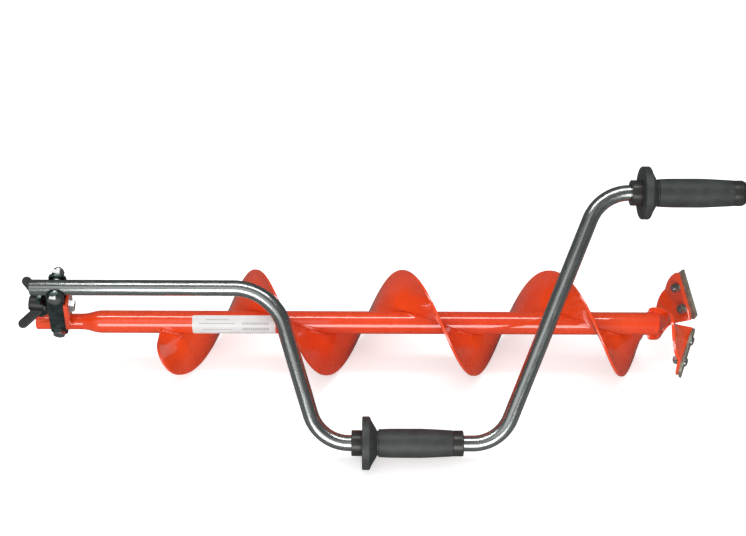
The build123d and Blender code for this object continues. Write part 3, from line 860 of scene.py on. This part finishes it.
class BuildLabel(bpy.types.Operator):
    """Sticks a blank label with plain bars round the tube"""

    bl_idname = "auger.label"
    bl_label = "Label"

    def execute(self, context):
        size = context.scene.auger.screw
        glue, paper_thickness = 0.06 * MM, 0.12 * MM
        radius = size.tube_diameter / 2 + glue
        width = size.label_arc * radius
        label = primitive("plane", "label", scale=(width, size.label_length, 1), size=1.0)
        opened(label)
        bpy.ops.mesh.bevel(affect="VERTICES", offset=2.5 * MM, segments=6)
        closed()
        cuts = 48
        for index in range(1, cuts):
            opened(label)
            bpy.ops.mesh.bisect(
                plane_co=((index / cuts - 0.5) * width, 0, 0), plane_no=(1, 0, 0), threshold=MM / 1000
            )
            closed()
        flat = label.data.attributes.new("flat", "FLOAT_VECTOR", "POINT")
        for point, mark in zip(label.data.vertices, flat.data):
            mark.vector = point.co
            turn = size.label_first + (point.co.x / width + 0.5) * size.label_arc
            along = size.label_start + size.label_length / 2 + point.co.y
            point.co = (radius * math.cos(turn), radius * math.sin(turn), along)
        opened(label)
        face_outwards()
        closed()
        if label.data.polygons[0].normal.dot(label.data.polygons[0].center * Vector((1, 1, 0))) < 0:
            opened(label)
            bpy.ops.mesh.flip_normals()
            closed()
        modify(label, "SOLIDIFY", thickness=paper_thickness, offset=1.0)
        paper = label_paper()
        print_bars(paper)
        settle(label, "auger", paper, SCREW, ["tube_label"])
        return {"FINISHED"}


def math_node(material, operation, first, second):
    return node(material, "Math", {0: first, 1: second}, operation=operation).outputs["Value"]


def print_bars(material):
    """Prints plain grey bars, with no lettering, on the label's flat coordinates."""
    place = node(material, "Attribute", attribute_name="flat").outputs["Vector"]
    split = node(material, "SeparateXYZ", {"Vector": place})
    across, along = split.outputs["X"], split.outputs["Y"]

    # Bars and stripe groups: lowest and highest across, then start and end along, in millimetres
    def within(value, low, high):
        over = math_node(material, "GREATER_THAN", value, low * MM)
        under = math_node(material, "LESS_THAN", value, high * MM)
        return math_node(material, "MULTIPLY", over, under)

    def bar(low, high, start, end):
        return math_node(material, "MULTIPLY", within(across, low, high), within(along, start, end))

    marks = bar(-12.6, -11.6, -33, -6)
    for low, high, start, end in ((-7.9, -6.9, -41, 2), (-0.4, 0.5, -37, -1), (5.3, 6.1, -20, 39)):
        marks = math_node(material, "MAXIMUM", marks, bar(low, high, start, end))
    stripe_step, stripe_gap = 1.1 * MM, 0.4 * MM
    stripes = math_node(material, "PINGPONG", along, stripe_step)
    gaps = math_node(material, "GREATER_THAN", stripes, stripe_gap)
    for low, high in ((-9.0, -5.9), (-2.6, 1.6)):
        striped = math_node(material, "MULTIPLY", bar(low, high, 10, 42), gaps)
        marks = math_node(material, "MAXIMUM", marks, striped)
    shader = material.node_tree.nodes["Principled BSDF"]
    paper = shader.inputs["Base Color"].links[0].from_socket
    mix = node(material, "Mix", {"Factor": marks}, data_type="RGBA")
    material.node_tree.links.new(paper, mix.inputs["A"])
    mix.inputs["B"].default_value = (0.36, 0.36, 0.36, 1)
    material.node_tree.links.new(mix.outputs["Result"], shader.inputs["Base Color"])


# The hinge and its clamp
class BuildLinkPlates(bpy.types.Operator):
    """Makes the two link plates with rounded ends and edges"""

    bl_idname = "auger.link_plates"
    bl_label = "Link plates"

    def execute(self, context):
        size = context.scene.auger.hinge
        back = -size.link_inside - size.link_thickness
        for name, start in (("front", size.link_inside), ("back", back)):
            plate = long_bar(
                "link_plate_" + name + "_edge", size.link_width / 2, link_centres, size.link_thickness,
                start, steps=64,
            )
            rounded(plate, 0.8 * MM, 4, 60)
            settle(
                plate, "link", dark_zinced(), HINGE, ["link_plate_" + name], smooth=40
            )
        return {"FINISHED"}


class BuildHingeBolts(bpy.types.Operator):
    """Makes the hinge bolts, their washers and their lock nuts with nylon rings"""

    bl_idname = "auger.hinge_bolts"
    bl_label = "Hinge bolts"

    def execute(self, context):
        size = context.scene.auger.hinge
        outside = size.link_inside + size.link_thickness
        nut_start = outside + size.washer_thickness
        bolt_end, shank_in, thread_pitch = 2 * MM, 4 * MM, 1.25 * MM
        end = nut_start + size.lock_nut + bolt_end
        head = hex_blank("bolt_head", size.flats, size.head, MM)
        head.data.transform(Matrix.Translation((0, 0, outside)))
        flange = ring("bolt_washer_face", 0.47 * size.flats, size.bolt / 2, outside, 0.5 * MM, 0.1 * MM)
        shank = threaded("bolt_shank", size.bolt, outside - shank_in, end, thread_pitch)
        shank.data.transform(Matrix.Rotation(math.pi, 4, "X"))
        body = turned(
            "bolt_body", ((0, -outside), (size.bolt / 2, -outside), (size.bolt / 2, outside), (0, outside)),
            steps=32,
        )
        bolt = joined("hinge_bolt", [head, flange, shank, body])
        washer = ring(
            "hinge_washer", size.washer / 2, size.bolt / 2, -nut_start, size.washer_thickness, 0.3 * MM
        )
        collar, step = 2.6 * MM, 0.5 * MM
        nut = hex_blank("lock_nut", size.flats, size.lock_nut - collar, 0.9 * MM)
        bore, crown, shelf = size.bolt / 2, 0.46 * size.flats, 0.36 * size.flats
        dome = turned(
            "lock_nut_dome",
            ((bore, 0), (crown, 0), (crown, collar), (shelf, collar), (shelf, collar - step),
             (bore, collar - step)),
            ((2, 0.9 * MM),), steps=48,
        )
        dome.data.transform(Matrix.Translation((0, 0, size.lock_nut - collar)))
        nut = joined("hinge_lock_nut", [nut, dome])
        insert = ring("nylon_ring", shelf, bore - 0.1 * MM, size.lock_nut - 1.2 * MM, 0.9 * MM, 0.2 * MM)
        flip = Matrix.Translation((0, 0, -nut_start)) @ Matrix.Rotation(math.pi, 4, "X")
        for piece in (nut, insert):
            piece.data.transform(flip)
        pieces = (
            (bolt, "_hinge_bolt", zinced, None),
            (washer, "_hinge_washer", zinced, "pivot_washers"),
            (nut, "_lock_nut", zinced, "pivot_lock_nuts"),
            (insert, "_nylon_ring", nylon, ""),
        )
        for index, (where, bolt_name) in enumerate(((0.0, "neck"), (link_centres, "handle"))):
            place = HINGE @ Matrix.Translation((where, 0, 0)) @ Matrix.Rotation(0.3 + index, 4, "Z")
            for model, ending, finish, stands_for in pieces:
                if stands_for is None:
                    stands_for = bolt_name + "_pivot_bolt"
                settle(
                    duplicate(model, bolt_name + ending), "link", finish(), place,
                    [stands_for] if stands_for else (),
                )
        discard(bolt, washer, nut, insert)
        return {"FINISHED"}


class BuildSaddle(bpy.types.Operator):
    """Rounds the saddle's edges and makes the clamp bolt through it"""

    bl_idname = "auger.saddle"
    bl_label = "Saddle and clamp bolt"

    def execute(self, context):
        size = context.scene.auger.hinge
        saddle = copied("saddle", "saddle_channel")
        rounded(saddle, 0.8 * MM, 3, 60)
        settle(saddle, "link", painted(), None, ["saddle"], smooth=45)
        head = hex_blank("clamp_head", size.flats, size.head, MM)
        head.data.transform(
            Matrix.Translation((0, 0, -size.saddle_back)) @ Matrix.Rotation(math.pi, 4, "X")
        )
        shank = threaded(
            "clamp_shank", size.bolt, -size.saddle_back, size.knob_start + size.stud_in_knob, 1.25 * MM
        )
        bolt = joined("clamp_stud", [head, shank])
        settle(bolt, "link", zinced(), CLAMP, ["clamp_bolt"])
        return {"FINISHED"}


class BuildClampShoe(bpy.types.Operator):
    """Rounds the pressed shoe and its washer"""

    bl_idname = "auger.clamp_shoe"
    bl_label = "Clamp shoe"

    def execute(self, context):
        shoe = copied("clamp_shoe", "pressed_shoe")
        rounded(shoe, 0.6 * MM, 3, 30)
        settle(shoe, "clamp_shoe", dark_zinced(), None, ["clamp_shoe"])
        washer = copied("clamp_washer", "knob_washer")
        rounded(washer, 0.3 * MM, 2, 50)
        settle(washer, "clamp_shoe", zinced(), None, ["clamp_washer"])
        return {"FINISHED"}


class BuildWingKnob(bpy.types.Operator):
    """Moulds the wing knob in one piece from a hub and two paddles"""

    bl_idname = "auger.wing_knob"
    bl_label = "Wing knob"

    def execute(self, context):
        size = context.scene.auger.hinge
        radius, top = size.knob_diameter / 2, size.knob_length
        inner, roof = 6.1 * MM, 2.5 * MM
        outline = (
            (inner, 0), (radius - 0.3 * MM, 0), (radius, 3 * MM), (radius - 0.5 * MM, top),
            (0, top), (0, top - roof), (inner, top - roof),
        )
        hub = turned("knob_hub", outline, ((1, 0.5 * MM), (3, 2.0 * MM)))
        root = Vector((5 * MM, 0, 4 * MM))
        tip = Vector((size.wing_radius, 0, size.wing_ahead))
        reach = (tip - root).length
        paddles = []
        for side in (1, -1):
            paddle = long_bar(
                "knob_paddle", size.wing_width / 2, reach, size.wing_thickness,
                -size.wing_thickness / 2, steps=48,
            )
            rounded(paddle, 1.5 * MM, 4, 60)
            way = Vector((side * (tip.x - root.x), 0, tip.z - root.z))
            paddle.matrix_world = placed(Vector((side * root.x, 0, root.z)), way, Vector((0, side, 0)))
            paddles.append(paddle)
        fixed(paddles)
        core = turned("knob_core", ((0, -MM), (inner, -MM), (inner, top - roof), (0, top - roof)))
        knob = joined("moulded_knob", [hub] + paddles)
        modify(knob, "REMESH", mode="VOXEL", voxel_size=0.4 * MM)
        modify(knob, "SMOOTH", factor=0.5, iterations=6)
        cut(knob, core, "DIFFERENCE")
        foot = CLAMP @ Matrix.Translation((0, 0, size.knob_start))
        settle(knob, "wing_knob", moulded_black(), foot, ["wing_knob"], smooth=50)
        coat_node("wing_insert", brass())
        return {"FINISHED"}


# The handle
BEND_STEPS = 24


def handle_route(size):
    """Corners of the handle's middle line in the crank's plane, and the radius of each bend."""
    first = Vector((size.first_leg, 0, 0))
    low = first + Vector((size.drop / math.tan(size.first_angle), -size.drop, 0))
    far = low + Vector((size.lower_run, 0, 0))
    climb = size.drop + size.rise
    high = far + Vector((climb / math.tan(size.second_angle), climb, 0))
    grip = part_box("upper_grip_sleeve")
    end = Vector((grip[1][0] - handle_pivot.x, size.rise, 0))
    points = [Vector((-size.tail, 0, 0)), first, low, far, high, end]
    return points, [size.first_bend, size.middle_bend, size.middle_bend, size.last_bend]


def handle_runs(points, radii):
    """Each straight run's end, with the bend that follows it: centre, signed angle and radius."""
    bends = []
    for before, corner, after, radius in zip(points, points[1:], points[2:], radii):
        arrive, leave = (corner - before).normalized(), (after - corner).normalized()
        turn = arrive.cross(leave).z
        sweep = math.atan2(turn, arrive.dot(leave))
        start = corner - arrive * radius * math.tan(abs(sweep) / 2)
        aside = Vector((-arrive.y, arrive.x, 0)) * math.copysign(radius, sweep)
        bends.append((start, start + aside, sweep))
    return bends


def mark_skin(obj, points, bends):
    """Stores each point's place on the tube as if the tube were straight."""
    samples, reached, here = [], 0.0, points[0]
    for start, centre, sweep in bends + [(points[-1], None, 0.0)]:
        run = start - here
        way = run.normalized()
        count = max(2, round(run.length / (2 * MM)))
        for index in range(count):
            samples.append((here + run * index / count, way, reached + run.length * index / count))
        reached += run.length
        if centre is None:
            break
        arm = start - centre
        arc = abs(sweep) * arm.length
        for index in range(BEND_STEPS):
            share = index / BEND_STEPS
            spun = Matrix.Rotation(sweep * share, 3, "Z")
            samples.append((centre + spun @ arm, spun @ way, reached + arc * share))
        reached += arc
        here = centre + Matrix.Rotation(sweep, 3, "Z") @ arm
    tree = KDTree(len(samples))
    for index, (point, _, _) in enumerate(samples):
        tree.insert(point, index)
    tree.balance()
    skin = obj.data.attributes.new("skin", "FLOAT_VECTOR", "POINT")
    for point, mark in zip(obj.data.vertices, skin.data):
        middle, way, distance = samples[tree.find(point.co)[1]]
        offset = point.co - middle
        side = Vector((-way.y, way.x, 0))
        mark.vector = (distance + offset.dot(way), offset.dot(side), offset.z)


class BuildHandleTube(bpy.types.Operator):
    """Bends the handle's tube from one ring, run by run"""

    bl_idname = "auger.handle_tube"
    bl_label = "Handle tube"

    def execute(self, context):
        size = context.scene.auger.handle
        points, radii = handle_route(size)
        bends = handle_runs(points, radii)
        tube = primitive(
            "circle", "crank_tube", vertices=48, radius=size.diameter / 2, fill_type="NOTHING",
            location=points[0], rotation=(0, math.pi / 2, 0),
        )
        opened(tube)
        here = points[0]
        for start, centre, sweep in bends:
            bpy.ops.mesh.extrude_region_move(TRANSFORM_OT_translate={"value": start - here})
            bpy.ops.mesh.spin(steps=BEND_STEPS, angle=-sweep, center=centre, axis=(0, 0, 1))
            here = centre + Matrix.Rotation(sweep, 3, "Z") @ (start - centre)
        bpy.ops.mesh.extrude_region_move(TRANSFORM_OT_translate={"value": points[-1] - here})
        bpy.ops.mesh.select_all(action="SELECT")
        bpy.ops.mesh.remove_doubles(threshold=MM / 200)
        face_outwards()
        closed()
        side = [face for face in tube.data.polygons if face.center.x < size.first_leg / 2]
        if sum(face.normal.dot(face.center * Vector((0, 1, 1))) for face in side) < 0:
            opened(tube)
            bpy.ops.mesh.flip_normals()
            closed()
        modify(tube, "SOLIDIFY", thickness=size.wall, offset=-1.0)
        rounded(tube, 0.35 * MM, 3, 60)
        mark_skin(tube, points, bends)
        settle(tube, "handle", plated(), CRANK, ["handle_tube"])
        return {"FINISHED"}


class BuildGrips(bpy.types.Operator):
    """Turns the two grips with their flanges, and the collars at their ends"""

    bl_idname = "auger.grips"
    bl_label = "Grips"

    def execute(self, context):
        size = context.scene.auger.handle
        collar, rim = size.collar, size.flange / 2
        back = collar + size.flange_thickness
        end = size.grip_length - collar
        hole, sleeve = size.diameter / 2 + 0.3 * MM, 12.25 * MM
        body = size.grip_diameter / 2
        neck = 14.0 * MM
        rise, groove = back + 9.3 * MM, back + 7.8 * MM
        # Radius and height of each corner, and how far it is rounded
        grip_corners = (
            (sleeve, collar + 0.1 * MM, 0), (rim - 0.4 * MM, collar, 0.6), (rim, collar + 1.4 * MM, 0.6),
            (rim, back - 1.2 * MM, 0.5), (rim - 0.8 * MM, back, 0.6), (0.86 * rim, back + 1.2 * MM, 0),
            (16.0 * MM, back + 7.0 * MM, 0.6), (neck, groove, 0), (neck, rise, 0),
            (body - 1.0 * MM, rise, 0.5), (body - 0.5 * MM, back + 16 * MM, 5), (body, 62 * MM, 14),
            (body - 0.3 * MM, 84 * MM, 12), (body - 1.9 * MM, end, 0.7), (sleeve, end - 0.1 * MM, 0),
        )
        grip = turned(
            "grip", [corner[:2] for corner in grip_corners],
            [(index, corner[2] * MM) for index, corner in enumerate(grip_corners) if corner[2]],
            steps=72,
        )
        outside = size.collar_diameter / 2
        first = turned(
            "first_collar", ((hole, 0), (outside, 0), (outside, collar), (hole, collar)),
            ((0, 0.4 * MM), (1, 0.9 * MM), (2, 0.3 * MM)), steps=72,
        )
        last = turned(
            "last_collar",
            ((hole, end), (outside, end), (outside, size.grip_length), (hole, size.grip_length)),
            ((1, 0.5 * MM), (2, 1.1 * MM), (3, 0.4 * MM)), steps=72,
        )
        core = turned(
            "sleeve_core", ((hole, collar), (sleeve, collar), (sleeve, end), (hole, end)), steps=48
        )
        collars = joined("grip_collars", [first, last, core])
        for which in ("lower", "upper"):
            spin = Vector(joints[which + "_grip_spin"]["pos_m"])
            start = Vector((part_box(which + "_grip_sleeve")[0][0], spin.y, spin.z))
            place = placed(start, UP, ALONG)
            for model, ending, slot, finish, node_ending in (
                (grip, "_soft_grip", "soft_grip", rubbery(), "_grip"),
                (collars, "_collars", "hard_plastic", hard_black(), "_grip_sleeve"),
            ):
                settle(
                    duplicate(model, which + ending), which + "_grip", finish, place,
                    [which + node_ending],
                )
        discard(grip, collars)
        return {"FINISHED"}


class BuildEndCap(bpy.types.Operator):
    """Turns the cap at the upper end of the handle"""

    bl_idname = "auger.end_cap"
    bl_label = "End cap"

    def execute(self, context):
        size = context.scene.auger.handle
        low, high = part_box("upper_end_cap")
        spin = Vector(joints["upper_grip_spin"]["pos_m"])
        deep = high[0] - low[0]
        radius = size.collar_diameter / 2
        plug, brim, crown = 7.4 * MM, radius - 1.0 * MM, radius - 3.0 * MM
        outline = (
            (0, 0), (plug, 0), (plug, deep - 3.6 * MM), (brim, deep - 3.0 * MM),
            (brim, deep - 1.6 * MM), (crown, deep - 0.2 * MM), (0, deep),
        )
        cap = turned("tube_cap", outline, ((4, 1.0 * MM), (5, 2.0 * MM)), steps=72)
        place = placed(Vector((low[0], spin.y, spin.z)), UP, ALONG)
        settle(cap, "handle", hard_black(), place, ["upper_end_cap"])
        return {"FINISHED"}


class CoatHiddenPieces(bpy.types.Operator):
    """Gives the bushes inside the tubes their steel finish"""

    bl_idname = "auger.hidden_pieces"
    bl_label = "Bushes"

    def execute(self, context):
        for name in ("neck_pivot_bush", "handle_pivot_bush"):
            coat_node(name, zinced())
        return {"FINISHED"}


# Floor, lights and camera
def soft_light(name, target, way, distance, width, height, power):
    """A rectangular lamp that faces the target from a direction."""
    lamp = bpy.data.lights.new(name, "AREA")
    lamp.shape = "RECTANGLE"
    lamp.size, lamp.size_y = width, height
    lamp.energy = power
    obj = bpy.data.objects.new(name, lamp)
    bpy.context.scene.collection.objects.link(obj)
    obj.matrix_world = placed(target + way * distance, ALONG, way)
    return obj


def raised(degrees):
    """Direction at an elevation over the front horizon."""
    turn = math.radians(degrees)
    return Vector((0, -math.cos(turn), math.sin(turn)))


def dim_reflections(material):
    """Makes the floor dark to glossy rays, so polished pieces mirror it darkly, and lifts it to the eye."""
    reflected, lift = (0.13, 0.135, 0.135, 1), 0.35
    nodes, links = material.node_tree.nodes, material.node_tree.links
    dim = nodes.new("ShaderNodeBsdfDiffuse")
    dim.inputs["Color"].default_value = reflected
    path, mix = nodes.new("ShaderNodeLightPath"), nodes.new("ShaderNodeMixShader")
    glow = nodes.new("ShaderNodeMath")
    glow.operation = "MULTIPLY"
    glow.inputs[1].default_value = lift
    links.new(path.outputs["Is Camera Ray"], glow.inputs[0])
    links.new(glow.outputs[0], nodes["Principled BSDF"].inputs["Emission Strength"])
    links.new(path.outputs["Is Glossy Ray"], mix.inputs[0])
    links.new(nodes["Principled BSDF"].outputs[0], mix.inputs[1])
    links.new(dim.outputs[0], mix.inputs[2])
    links.new(mix.outputs[0], nodes["Material Output"].inputs["Surface"])


def light_the_room(scene):
    """Gives the world a pale backdrop to the eye, a mid grey light, and a dark one in reflections."""
    lit, mirrored, seen = (0.40, 0.41, 0.41, 1), (0.10, 0.105, 0.105, 1), (0.95, 0.95, 0.95, 1)
    world = bpy.data.worlds.new("studio")
    scene.world = world
    world.use_nodes = True
    nodes, links = world.node_tree.nodes, world.node_tree.links
    path, glossy, whole = (nodes.new("ShaderNode" + kind) for kind in ("LightPath", "Mix", "Mix"))
    glossy.data_type = whole.data_type = "RGBA"
    glossy.inputs["A"].default_value = lit
    glossy.inputs["B"].default_value = mirrored
    whole.inputs["B"].default_value = seen
    links.new(path.outputs["Is Glossy Ray"], glossy.inputs["Factor"])
    links.new(path.outputs["Is Camera Ray"], whole.inputs["Factor"])
    links.new(glossy.outputs["Result"], whole.inputs["A"])
    links.new(whole.outputs["Result"], nodes["Background"].inputs["Color"])


class SetStage(bpy.types.Operator):
    """Lays a pale floor and sets soft lights and the camera"""

    bl_idname = "auger.stage"
    bl_label = "Floor, lights and camera"

    def execute(self, context):
        settings = context.scene.auger
        under = (0, 0, cad_box[0][2] - 0.2 * MM)
        floor = primitive("plane", "floor", size=14.0, location=under)
        floor.data.materials.append(pale_floor())
        dim_reflections(floor.data.materials[0])
        light_the_room(context.scene)
        target = neck_end + ALONG * 0.3993 + UP * 0.065
        middle = target - ALONG * 0.12
        # Name, target, direction, distance, width, height, power, and whether it shows in reflections
        lamps = (
            ("overhead_strip", middle, raised(101), 1.6, 1.9, 0.26, 13, True),
            ("front_box", middle, raised(13), 1.8, 1.9, 0.82, 22, True),
            ("camera_fill", target - ALONG * 1.0, raised(52), 1.9, 1.9, 1.0, 3.5, True),
            ("overhead_box", middle, raised(75), 2.0, 3.0, 1.6, 16, False),
            ("end_fill", target, Vector((1, 0.1, 0.55)).normalized(), 2.4, 1.6, 1.0, 7, False),
            ("back_fill", target, Vector((-0.2, 1, 0.7)).normalized(), 2.4, 1.6, 1.0, 5, False),
        )
        for *lamp, glossy in lamps:
            soft_light(*lamp).visible_glossy = glossy
        lens = bpy.data.cameras.new("camera")
        lens.lens = settings.lens
        lens.sensor_width = 36.0
        lens.clip_end = 50.0
        camera = bpy.data.objects.new("camera", lens)
        context.scene.collection.objects.link(camera)
        tilt = math.radians(0.22)
        level = Matrix.Rotation(tilt, 4, "Z")
        camera.matrix_world = placed(target + FRONT * settings.distance, ALONG, FRONT) @ level
        context.scene.camera = camera
        context.scene.view_settings.view_transform = "Standard"
        return {"FINISHED"}


class AUGER_PT_build(bpy.types.Panel):
    """Lists the sizes, the colours and the pieces of the auger"""

    bl_label = "Ice auger"
    bl_idname = "AUGER_PT_build"
    bl_space_type = "VIEW_3D"
    bl_region_type = "UI"
    bl_category = "Auger"

    def draw(self, context):
        settings = context.scene.auger
        for title, group in (
            ("Screw", settings.screw), ("Hinge", settings.hinge), ("Handle", settings.handle),
            ("Colours", settings.colours), ("Stage", settings),
        ):
            box = self.layout.box()
            box.label(text=title)
            for key in group.__annotations__:
                if not isinstance(getattr(group, key), bpy.types.PropertyGroup):
                    box.prop(group, key)
        box = self.layout.box()
        box.label(text="Build")
        for step in STEPS:
            box.operator(step.bl_idname)


STEPS = (
    SetStage, BuildScrewTube, BuildFlight, BuildWelds, BuildWings, BuildBlades, BuildBladeFasteners,
    BuildLabel, BuildLinkPlates, BuildHingeBolts, BuildSaddle, BuildClampShoe, BuildWingKnob,
    BuildHandleTube, BuildGrips, BuildEndCap, CoatHiddenPieces,
)
CLASSES = (ScrewSizes, HingeSizes, HandleSizes, Colours, AugerSettings, *STEPS, AUGER_PT_build)


def register():
    for item in CLASSES:
        bpy.utils.register_class(item)
    bpy.types.Scene.auger = PointerProperty(type=AugerSettings)


def unregister():
    del bpy.types.Scene.auger
    for item in reversed(CLASSES):
        bpy.utils.unregister_class(item)


def main():
    register()
    for step in STEPS:
        group, name = step.bl_idname.split(".")
        getattr(getattr(bpy.ops, group), name)()


if __name__ == "__main__":
    main()
